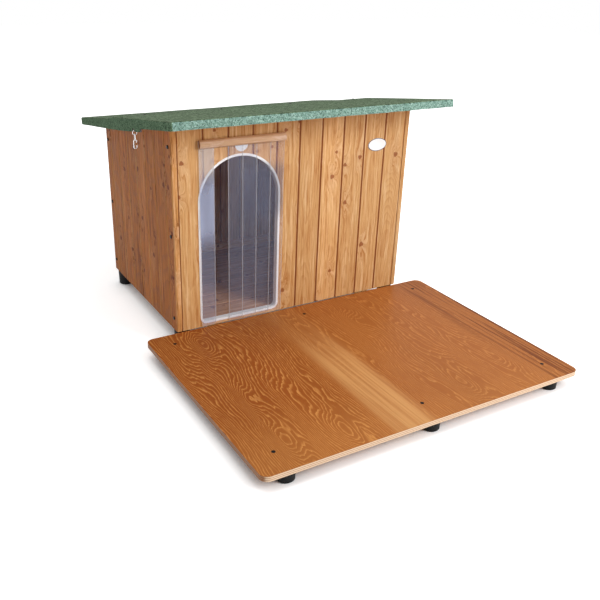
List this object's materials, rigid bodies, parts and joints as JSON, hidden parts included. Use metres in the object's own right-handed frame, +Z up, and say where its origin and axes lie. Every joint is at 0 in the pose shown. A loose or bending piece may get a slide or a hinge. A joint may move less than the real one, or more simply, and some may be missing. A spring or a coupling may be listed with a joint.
{
  "type": "dog house",
  "caption": "Timber dog house with a felt-covered lean-to roof that hinges up at the back, an arched doorway with a clear strip curtain, and a low plywood platform on feet",
  "frame": {"origin": "on the ground, under the middle of the whole object's box", "axes": "+Z up, +Y to the back of the kennel, +X to the right as seen from the front"},
  "size_m": [1.25, 1.7106, 0.8701],
  "materials": {
    "stained_pine": "pine boards, brushed with a satin honey wood stain",
    "deck_ply": "film-faced plywood, satin orange-brown stain",
    "roof_felt": "bitumen felt with green mineral granules",
    "white_trim": "white flexible PVC channel",
    "clear_pvc": "clear flexible PVC sheet",
    "black_caps": "black plastic caps over steel bolts",
    "black_rubber": "black moulded rubber",
    "zinc_steel": "bright zinc-plated steel",
    "dark_screws": "blackened countersunk screws",
    "dark_steel": "dark painted steel angle"
  },
  "bodies": {
    "kennel": {"front_board_01": "stained_pine", "front_board_02": "stained_pine", "front_board_03": "stained_pine", "front_board_04": "stained_pine", "front_board_05": "stained_pine", "front_board_06": "stained_pine", "front_board_07": "stained_pine", "front_board_08": "stained_pine", "front_board_09": "stained_pine", "front_board_10": "stained_pine", "rear_wall_boards": "stained_pine", "left_wall_boards": "stained_pine", "right_wall_boards": "stained_pine", "front_left_post": "stained_pine", "front_right_post": "stained_pine", "rear_left_post": "stained_pine", "rear_right_post": "stained_pine", "front_top_rail": "stained_pine", "rear_top_rail": "stained_pine", "left_top_rail": "stained_pine", "right_top_rail": "stained_pine", "front_bottom_rail": "stained_pine", "rear_bottom_rail": "stained_pine", "left_bottom_rail": "stained_pine", "right_bottom_rail": "stained_pine", "door_jamb_battens": "stained_pine", "floor_boards": "stained_pine", "floor_bearers": "stained_pine", "door_sill": "stained_pine", "curtain_batten": "stained_pine", "door_edge_trim": "white_trim", "curtain_header": "clear_pvc", "panel_bolts_left": "black_caps", "panel_bolts_right": "black_caps", "kennel_feet": "black_rubber", "kennel_foot_screws": "zinc_steel", "hinge_wall_leaves": "zinc_steel", "hinge_pins": "zinc_steel", "platform_deck": "deck_ply", "platform_battens": "stained_pine", "platform_foot_screws": "zinc_steel", "platform_feet": "black_rubber", "platform_screws": "dark_screws", "platform_nuts": "zinc_steel"},
    "roof": {"roof_boards": "stained_pine", "roof_cross_battens": "stained_pine", "roof_firring": "stained_pine", "roof_felt": "roof_felt", "hinge_roof_leaves": "zinc_steel", "chain_bracket": "dark_steel"},
    "chain": {"chain_ring": "zinc_steel", "chain_link": "zinc_steel", "snap_hook": "zinc_steel"},
    "strip_1": {"curtain_strip_1": "clear_pvc"},
    "strip_2": {"curtain_strip_2": "clear_pvc"},
    "strip_3": {"curtain_strip_3": "clear_pvc"},
    "strip_4": {"curtain_strip_4": "clear_pvc"},
    "strip_5": {"curtain_strip_5": "clear_pvc"},
    "strip_6": {"curtain_strip_6": "clear_pvc"}
  },
  "joints": [
    {"name": "roof_hinge", "type": "hinge", "parent": "kennel", "child": "roof", "pos_m": [0, 0.73921, 0.68486], "axis": [-1, 0, 0], "range_deg": [0, 80]},
    {"name": "chain_swing", "type": "hinge", "parent": "roof", "child": "chain", "pos_m": [-0.55835, 0.21204, 0.77608], "axis": [1, 0, 0], "range_deg": [-40, 40]},
    {"name": "strip_1_swing", "type": "hinge", "parent": "kennel", "child": "strip_1", "pos_m": [-0.37425, 0.03346, 0.7339], "axis": [-1, 0, 0], "range_deg": [0, 70]},
    {"name": "strip_2_swing", "type": "hinge", "parent": "kennel", "child": "strip_2", "pos_m": [-0.31855, 0.03346, 0.7339], "axis": [-1, 0, 0], "range_deg": [0, 70]},
    {"name": "strip_3_swing", "type": "hinge", "parent": "kennel", "child": "strip_3", "pos_m": [-0.26285, 0.03346, 0.7339], "axis": [-1, 0, 0], "range_deg": [0, 70]},
    {"name": "strip_4_swing", "type": "hinge", "parent": "kennel", "child": "strip_4", "pos_m": [-0.20715, 0.03346, 0.7339], "axis": [-1, 0, 0], "range_deg": [0, 70]},
    {"name": "strip_5_swing", "type": "hinge", "parent": "kennel", "child": "strip_5", "pos_m": [-0.15145, 0.03346, 0.7339], "axis": [-1, 0, 0], "range_deg": [0, 70]},
    {"name": "strip_6_swing", "type": "hinge", "parent": "kennel", "child": "strip_6", "pos_m": [-0.09575, 0.03346, 0.7339], "axis": [-1, 0, 0], "range_deg": [0, 70]}
  ]
}
